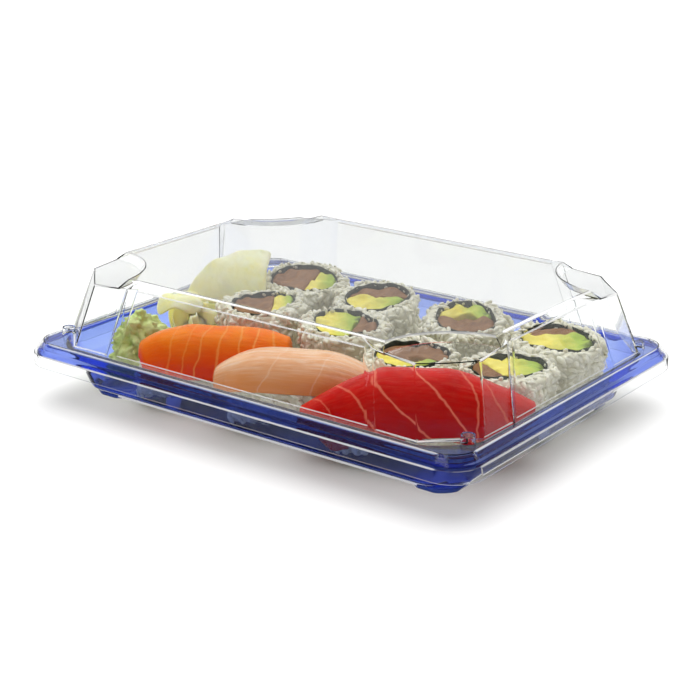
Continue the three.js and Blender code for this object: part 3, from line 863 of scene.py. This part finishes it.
def fish_flesh(name, lines, deep, light, fat, hem, streaks, streak_share):
    """Raw fish: flesh between two tones, long fibres, pale lines of fat or sinew, and painted
    shade towards its hems.
    """
    material, tree, place = new_material(name)
    both = add(tree, "ShaderNodeUVMap", uv_map="surface").outputs[0]
    along, across, _ = add(tree, "ShaderNodeSeparateXYZ", {0: both}).outputs
    waver = spread(tree, grain(tree, place, 130.0, 3.0), -0.012, 0.012)
    fibres = grain(tree, stretched(tree, both, streaks), 10.0, 4.0, 0.6)
    broad = grain(tree, place, 95.0, 3.0)
    colour = mottled(tree, broad, deep, light)
    colour = blend(tree, spread(tree, fibres, 0.0, streak_share, 0.45, 0.75), colour, fat)
    # Painted shade: the flesh goes to the hem colour down the slice's sides, which turn away from
    # the light.
    from_ridge = maths(tree, "ABSOLUTE", maths(tree, "SUBTRACT", across, 0.5))
    colour = mottled(tree, from_ridge, colour, hem, 0.9, 0.14, 0.44)
    total, *others = (pale_line(tree, along, across, line, waver) for line in lines)
    for mark in others:
        total = maths(tree, "MAXIMUM", total, mark)
    colour = blend(tree, total, colour, fat)
    height = maths(tree, "ADD", maths(tree, "MULTIPLY", fibres, 0.4), broad)
    return coated(material, colour, {
        "Specular IOR Level": 0.32,
        "Roughness": satin(tree, place, 300.0, 0.10, 0.26),
        "Normal": bumped(tree, height, 0.0009, 0.75),
        "Subsurface Weight": 0.05, "Subsurface Scale": 0.002,
        "Subsurface Radius": (1.0, 0.45, 0.3),
    })


FISH = {
    "salmon": fish_flesh("salmon_flesh", [
        (0.385, 0.22, -0.10, 0.011, 0.40), (0.520, 0.20, -0.14, 0.011, 0.45),
        (0.665, 0.16, -0.20, 0.011, 0.55), (0.745, 0.25, -0.28, 0.012, 0.6),
        (0.915, 0.04, -0.14, 0.011, 0.55), (0.300, 0.20, -0.10, 0.010, 0.25),
        (0.200, 0.15, -0.10, 0.012, 0.25),
    ], (0.92, 0.15, 0.002), (0.98, 0.24, 0.006), (0.98, 0.44, 0.10), (0.80, 0.035, 0.001),
        (0.9, 3.4, 1.0), 0.22),
    "whitefish": fish_flesh("whitefish_flesh", [
        (0.30, 0.35, -0.2, 0.008, 0.2), (0.62, 0.3, -0.2, 0.008, 0.2),
    ], (0.84, 0.41, 0.20), (0.93, 0.56, 0.33), (0.98, 0.82, 0.66), (0.74, 0.26, 0.07),
        (0.4, 2.4, 1.0), 0.75),
    "tuna": fish_flesh("tuna_flesh", [
        (0.570, -1.10, 1.19, 0.011, 0.75), (0.770, -0.85, 0.58, 0.011, 0.75),
        (0.760, 0.15, -0.57, 0.009, 0.6), (0.930, -0.28, 0.0, 0.008, 0.4),
        (0.340, -0.37, 0.0, 0.010, 0.6), (0.200, -0.30, 0.0, 0.008, 0.4),
    ], (0.55, 0.003, 0.001), (0.70, 0.008, 0.003), (0.86, 0.22, 0.13), (0.42, 0.001, 0.001),
        (1.0, 3.6, 1.0), 0.14),
}

for order, (kind, spec) in enumerate(NIGIRI.items()):
    place = standing(spec["at"], spec["turn"])
    pad = new_piece(f"nigiri_{kind}_rice_grains", *rice_pad(spec), place)
    cover_with_grains(pad, 200 + order)
    fit(pad, rice_finish, "rice", f"nigiri_{kind}_rice")
    fish = fish_slice(f"nigiri_{kind}_fish", spec)
    fit(fish, FISH[kind], kind, f"nigiri_{kind}_slice")

# ==== Wasabi ====
# A rough lump of green horseradish paste, stiff enough to stay craggy. It is set down with a
# spoon and leans on the tray's short wall.

TRAY_FLOOR_HALF = 83.4  # inner half length at the floor, with a small gap
TRAY_LEAN = 0.34
WASABI_AT = (-78.6, -31)
WASABI_HALF = (6.4, 14.5)
WASABI_HEIGHT = 24.0


def lumpy_mound(half_x, half_y, height, seed, levels=34, sides=72, bumps=1.0):
    rings = []
    for k in range(levels):
        climb = cos(k / (levels - 1) * pi / 2)
        ring = []
        for angle in around(sides):
            r = sqrt(max(0.0, 1 - climb ** 2)) * (0.72 if k == levels - 1 else 1)
            x, y, z = half_x * r * cos(angle), half_y * r * sin(angle), height * climb
            where = Vector((x, y, z + seed * 31))
            swell = bumps * (1.3 * noise.noise(where * 0.22) + 0.9 * noise.noise(where * 0.55)
                             + 0.5 * noise.noise(where * 1.3))
            grow = 1 + swell / max(half_x, 6)
            ring.append((x * grow, y * grow, max(0.0, z * (1 + 0.4 * swell / height))))
        rings.append(ring)
    return loft(rings)


def wasabi_paste():
    material, tree, place = new_material("wasabi_paste")
    crumbs = grain(tree, place, 750.0, 5.0, 0.65)
    broad = grain(tree, place, 170.0, 2.0)
    colour = mottled(tree, broad, (0.66, 0.84, 0.22), (0.82, 0.95, 0.40))
    colour = mottled(tree, crumbs, colour, (0.90, 0.96, 0.60), 0.6, 0.4, 0.75)
    return coated(material, colour, {
        "Roughness": spread(tree, crumbs, 0.5, 0.8),
        "Normal": bumped(tree, crumbs, 0.0009, 0.9),
    })


mound = lumpy_mound(*WASABI_HALF, WASABI_HEIGHT, 1, bumps=2.5)
wasabi = new_piece("wasabi_lump", *mound, standing(WASABI_AT, 0))
for point in wasabi.data.vertices:
    point.co.x = max(point.co.x, -TRAY_FLOOR_HALF * MM - TRAY_LEAN * point.co.z)
fit(wasabi, wasabi_paste(), "wasabi", "wasabi")

# ==== Pickled ginger ====
# Paper-thin slices of young ginger, pale yellow and wet: a heap of them folded on edge, with two
# large slices lying over it.

GINGER_AT = (-75.4, 3.6)
GINGER_THICK = 0.9
GINGER_FOLDS = [  # middle of a ribbon, its length, height, fold depth, folds, lean and start
    ((-70.5, -1.5), 30, 21.0, 2.6, 4.2, 6, 0.0),
    ((-75.0, 2.5), 36, 23.0, 2.8, 4.6, -4, 1.3),
    ((-79.5, 6.0), 32, 21.0, 2.4, 3.6, -12, 2.1),
    ((-68.8, 11.0), 20, 19.0, 2.2, 2.8, 10, 4.0),
]
GINGER_SLICES = [  # place, turn and tilt, curl each way, and outline of a slice
    ((-70.6, 14.8, 33.2), (40, 35), (-0.010, -0.020), [
        (15.5, 14.5), (8, 13.2), (1, 10.5), (-7, 6), (-13, 0), (-18, -7), (-19.5, -11),
        (-10, -12.5), (0, -12), (12, -11), (14, 0),
    ]),
    ((-78.0, -8.0, 25.6), (34, 26), (-0.030, -0.05), [
        (8, 3), (3, 6.5), (-3, 5.5), (-8, 6), (-9.5, 0), (-8, -5), (-2, -4.5), (4, -6), (8.5, -3),
    ]),
]


def ginger_flesh():
    material, tree, place = new_material("ginger_flesh")
    fibres = grain(tree, stretched(tree, place, (1.0, 1.0, 0.25)), 480.0, 3.0, 0.55)
    broad = grain(tree, place, 80.0, 2.0)
    colour = mottled(tree, broad, (0.95, 0.85, 0.34), (0.97, 0.93, 0.58))
    colour = mottled(tree, fibres, colour, (0.97, 0.96, 0.74), 0.5)
    return coated(material, colour, {
        "Roughness": satin(tree, place, 260.0, 0.22, 0.42),
        "Normal": bumped(tree, fibres, 0.0004, 0.5),
        "Specular IOR Level": 0.35, "Subsurface Weight": 0.75, "Subsurface Scale": 0.004,
        "Subsurface Radius": (1.0, 0.8, 0.4),
    })


def folded_ribbon(middle, length, height, depth, folds, lean, phase, stations=110, rows=14):
    """Thin slice standing on edge in folds, as points of both its sides."""
    front, back = [], []
    for i in range(stations + 1):
        share = i / stations
        y = mix(-length / 2, length / 2, share)
        angle = share * folds * 2 * pi + phase
        x = depth * sin(angle) + 0.8 * sin(angle * 0.37 + phase)
        slope = depth * cos(angle) * folds * 2 * pi / length
        flat = hypot(1, slope)
        edge = min(1.0, 5.0 * share * (1 - share) + 0.35)
        tall = height * edge * (0.9 + 0.14 * uneven(y * 0.13, phase, 2.0))
        for k in range(rows + 1):
            up = k / rows
            spill = 2.6 * up * up * sin(angle * 0.5 + phase) + lean * 0.1 * up
            px = middle[0] + x * (1 - 0.25 * up) + spill
            py = middle[1] + y * (1 + 0.05 * up)
            pz = 0.3 + tall * up - 0.9 * up ** 4
            thin = GINGER_THICK / 2 * (1 - 0.45 * up ** 6)
            front.append((px + thin / flat, py - thin * slope / flat, pz))
            back.append((px - thin / flat, py + thin * slope / flat, pz))
    total, wide = len(front), rows + 1
    faces = []
    for i in range(stations):
        for k in range(rows):
            a, b = i * wide + k, (i + 1) * wide + k
            faces.append((a, b, b + 1, a + 1))
            faces.append((total + a, total + a + 1, total + b + 1, total + b))
    for a in range(0, stations * wide, wide):
        faces.append((a, total + a, total + a + wide, a + wide))
        t = a + rows
        faces.append((t, t + wide, total + t + wide, total + t))
    for k in range(rows):
        faces.append((k, k + 1, total + k + 1, total + k))
        a = stations * wide + k
        faces.append((a, total + a, total + a + 1, a + 1))
    return front + back, faces


def rounded_outline(corners, count=96):
    """Smooth closed curve through an outline's corners."""
    curve = []
    for k in range(count):
        whole, t = divmod(k / count * len(corners), 1)
        a, b, c, d = (corners[(int(whole) + step) % len(corners)] for step in (-1, 0, 1, 2))
        curve.append([
            0.5 * (2 * q + (r - p) * t + (2 * p - 5 * q + 4 * r - u) * t * t
                   + (3 * q - p - 3 * r + u) * t ** 3)
            for p, q, r, u in zip(a, b, c, d)
        ])
    return curve


def curled_slice(corners, curl, rings_count=14):
    """Large thin slice with an uneven rim, curled both ways and a little rippled."""
    curve = rounded_outline(corners)

    def ring(scale, lift):
        points = []
        for cx, cy in curve:
            x, y = cx * scale, cy * scale
            ripple = 1.3 * uneven(x * 0.16, y * 0.10, curl[0] * 100)
            points.append((x, y, curl[0] * x * x + curl[1] * y * y + ripple * scale + lift))
        return points

    scales = [(k + 0.3) / rings_count for k in range(rings_count)]
    return loft([ring(scale, 1.1) for scale in scales]
                + [ring(1, 0.8), ring(1.006, 0.6), ring(1, 0.4)]
                + [ring(scale, 0.1) for scale in reversed(scales)])


ginger_finish = ginger_flesh()
heap_points, heap_faces = lumpy_mound(8.2, 17.0, 19.5, 2, 20, 48, 0.6)
heap_points = [(x + GINGER_AT[0], y + GINGER_AT[1], z) for x, y, z in heap_points]
for fold in GINGER_FOLDS:
    join(heap_points, heap_faces, folded_ribbon(*fold))
heap = new_piece("ginger_folds", heap_points, heap_faces, standing((0, 0), 0))
fit(heap, ginger_finish, "ginger", "ginger_heap")

for number, (at, tilt, curl, corners) in enumerate(GINGER_SLICES, 1):
    place = Matrix.Translation(Vector(at) * MM)
    for turn, axis in zip(tilt, "ZX"):
        place @= Matrix.Rotation(radians(turn), 4, axis)
    leaf = new_piece(f"ginger_leaf_{number}", *curled_slice(corners, curl), place)
    fit(leaf, ginger_finish, "ginger", f"ginger_slice_{number}")

# ==== Lid ====
# Crystal-clear press-on dome of the same thin sheet. Its outer skin is taken from the lid's own
# solid, every bend is rounded, and the wall is laid inwards from it.

LID_WALL = 0.6
LID_BEND = 0.9  # radius of the lid's bends
LID_STRIP = 0.8
LID_HEM_Z = 13.65  # just above the skirt's lower edge
LID_FLAT = 5  # degrees: edges that turn less stay as they are
LID_SHORT = 6  # so do edges shorter than this
LID_SHARP = 36  # bends stay smooth below this angle
LID_RIM_Z = 49.25  # lower side of the rims of the finger dishes, which carry a painted highlight
LID_DISH_NORMAL = 0.61  # upward share of the dish walls' normals
LID_WELD = 0.12  # points of the wall closer than this are joined
LID_UPRIGHT = 0.35  # share of the bend given to the upright edges


def outer_skin(solid, weld, flat):
    """Outside of a thin shell: opened at its lower edge and cleared of its inner side."""
    skin = opened(solid.data)
    bmesh.ops.remove_doubles(skin, verts=skin.verts, dist=0.02 * MM)
    hem = [face for face in skin.faces if max(v.co.z for v in face.verts) < LID_HEM_Z * MM]
    bmesh.ops.delete(skin, geom=hem, context="FACES")
    start = max(skin.faces, key=lambda face: face.calc_center_median().z)
    kept, waiting = {start}, [start]
    while waiting:
        for edge in waiting.pop().edges:
            for face in edge.link_faces:
                if face not in kept:
                    kept.add(face)
                    waiting.append(face)
    bmesh.ops.delete(skin, geom=[f for f in skin.faces if f not in kept], context="FACES")
    bmesh.ops.dissolve_limit(skin, angle_limit=radians(flat), verts=skin.verts,
                             edges=skin.edges)
    bmesh.ops.remove_doubles(skin, verts=skin.verts, dist=weld * MM)
    return skin


skin = outer_skin(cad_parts["lid"], weld=0.25, flat=0.25)
bends = skin.edges.layers.float.new("bevel_weight_edge")
for edge in skin.edges:
    turn = degrees(edge.calc_face_angle(0))
    if turn > LID_FLAT and edge.calc_length() > LID_SHORT * MM:
        rise = abs(edge.verts[0].co.z - edge.verts[1].co.z) / edge.calc_length()
        edge[bends] = LID_UPRIGHT if rise > 0.7 else 1.0
lid_mesh = bpy.data.meshes.new("clear_lid")
skin.to_mesh(lid_mesh)
skin.free()
shade_round(lid_mesh)
lid = placed("clear_lid", lid_mesh)
change(lid, "BEVEL", limit_method="WEIGHT", width=LID_BEND * MM, segments=3,
       use_clamp_overlap=False)
change(lid, "SOLIDIFY", thickness=LID_WALL * MM, offset=-1, use_even_offset=True,
       use_quality_normals=True)
settle(lid)
corners = opened(lid.data)
bmesh.ops.remove_doubles(corners, verts=corners.verts, dist=LID_WELD * MM)
bmesh.ops.bisect_plane(
    corners, geom=corners.verts[:] + corners.edges[:] + corners.faces[:], dist=0.001 * MM,
    plane_co=(0, 0, LID_RIM_Z * MM), plane_no=(0, 0, 1)
)
for edge in corners.edges:
    edge.smooth = degrees(edge.calc_face_angle(0)) < LID_SHARP
corners.to_mesh(lid.data)
corners.free()
change(lid, "WEIGHTED_NORMAL", mode="FACE_AREA", weight=100, keep_sharp=True)
settle(lid)

clear_sheet = clear_plastic(
    "clear_sheet", 1.3, ((0.94, 0.95, 0.95), (0.0, 0.02), 1.0), (0.90, 0.905, 0.905),
    # a bend carries a painted highlight: milky white
    marks=[("bend", ((0.97, 0.97, 0.97), (0.02, 0.06), 0.5))],
)
# Painted highlight: milky white on the middle strips of the bends, on the hem and on the rims of
# the finger dishes.
mark_faces(lid.data, "bend", bend_middles(lid.data, LID_STRIP * MM) | {
    face.index for face in lid.data.polygons if face.center.z < LID_HEM_Z * MM
    or face.center.z > LID_RIM_Z * MM and abs(face.normal.z - LID_DISH_NORMAL) < 0.03
})
lid.visible_diffuse = False
fit(lid, clear_sheet, "lid_plastic", "lid")

# ==== Table, light and camera ====
# Plain pale table, and a dim side behind the viewer. Most light comes from a soft ceiling, so
# wide that the table is as bright far off as under the tray.

TABLE_HALF = 3000
TABLE_Z = -0.05  # just under the feet

corners = [(sx * TABLE_HALF, sy * TABLE_HALF, TABLE_Z) for sx, sy in QUARTERS]
table = new_piece("table_top", corners, [(0, 1, 2, 3)])
material, tree, place = new_material("table_paint")
paint = blend(tree, grain(tree, place, 6.0), (0.92, 0.92, 0.92), (0.95, 0.95, 0.95))
table.data.materials.append(coated(material, paint, {
    "Roughness": satin(tree, place, 60.0, 0.75, 0.9),
    "Specular IOR Level": 0.2,
}, index=1.5))
table.visible_glossy = False  # the plastic mirrors the dim room, not the bright table

world = bpy.data.worlds.new("studio")
bpy.context.scene.world = world
world.use_nodes = True
tree = world.node_tree
tree.nodes.clear()
facing = add(tree, "ShaderNodeTexCoord").outputs["Generated"]
towards_viewer = add(tree, "ShaderNodeVectorMath", {
    0: facing, 1: (0.60, -0.80, -0.35),
}, operation="DOT_PRODUCT").outputs["Value"]
around_it = spread(tree, towards_viewer, 0.42, 0.06, -0.75, -0.15)
upward = add(tree, "ShaderNodeSeparateXYZ", {0: facing}).outputs["Z"]
dim_room = maths(tree, "MULTIPLY", around_it, spread(tree, upward, 0.06, 1.0, -0.05, 0.05))
ray = add(tree, "ShaderNodeLightPath").outputs
far_wall = maths(tree, "MULTIPLY", spread(tree, towards_viewer, 0.85, 0.0, -0.55, -0.15),
                 spread(tree, upward, 1.0, 0.0, 0.05, 0.20))
through = maths(tree, "MAXIMUM", ray["Is Transmission Ray"], ray["Is Glossy Ray"])
seen = maths(tree, "MAXIMUM", ray["Is Camera Ray"], maths(tree, "MULTIPLY", through, far_wall))
brightness = maths(tree, "MAXIMUM", dim_room, seen)
sky = add(tree, "ShaderNodeBackground", {"Color": (1.0, 1.0, 1.0, 1.0), "Strength": brightness})
tree.links.new(sky.outputs[0], tree.nodes.new("ShaderNodeOutputWorld").inputs["Surface"])

LAMP_AWAY = 1.1  # metres from the tray
LAMPS = [  # name, direction from the tray, length, width, power, seen in the plastic
    ("window_lamp", (-0.40, 0.55, 0.74), 0.95, 0.60, 3.6, True),
    ("front_strip", (-0.567, -0.74, 0.40), 0.60, 0.07, 0.3, True),
    ("side_strip", (0.62, 0.75, 0.22), 0.60, 0.07, 0.3, True),
    ("viewer_lamp", (0.25, -0.80, 0.55), 0.90, 0.60, 1.9, False),
]
CEILING_WIDE = 72  # degrees of sky that it fills


def hung(name, light, aim, mirrored=True):
    """Lamp turned the way it shines, and not seen through clear plastic."""
    lamp = placed(name, light)
    lamp.rotation_euler = aim.to_track_quat("-Z", "Y").to_euler()
    lamp.visible_transmission = False
    lamp.visible_glossy = mirrored
    return lamp


for name, towards, long, wide, power, mirrored in LAMPS:
    light = bpy.data.lights.new(name, "AREA")
    light.shape = "RECTANGLE"
    light.size, light.size_y = long, wide
    light.energy = power
    away = Vector(towards) * LAMP_AWAY
    hung(name, light, Vector((0, 0, 0.04)) - away, mirrored).location = away

light = bpy.data.lights.new("ceiling", "SUN")
light.energy = 2.85
light.angle = radians(CEILING_WIDE)
hung("ceiling", light, Vector((0.15, -0.18, -0.97)))

camera = bpy.data.cameras.new("viewer")
camera.lens = 86.06
camera.sensor_width = 36
viewer = placed("viewer", camera)
viewer.location = (0.35692, -0.47412, 0.22547)
viewer.rotation_euler = (radians(70.791), 0, radians(36.961))
bpy.context.scene.camera = viewer
bpy.context.scene.view_settings.view_transform = "Standard"
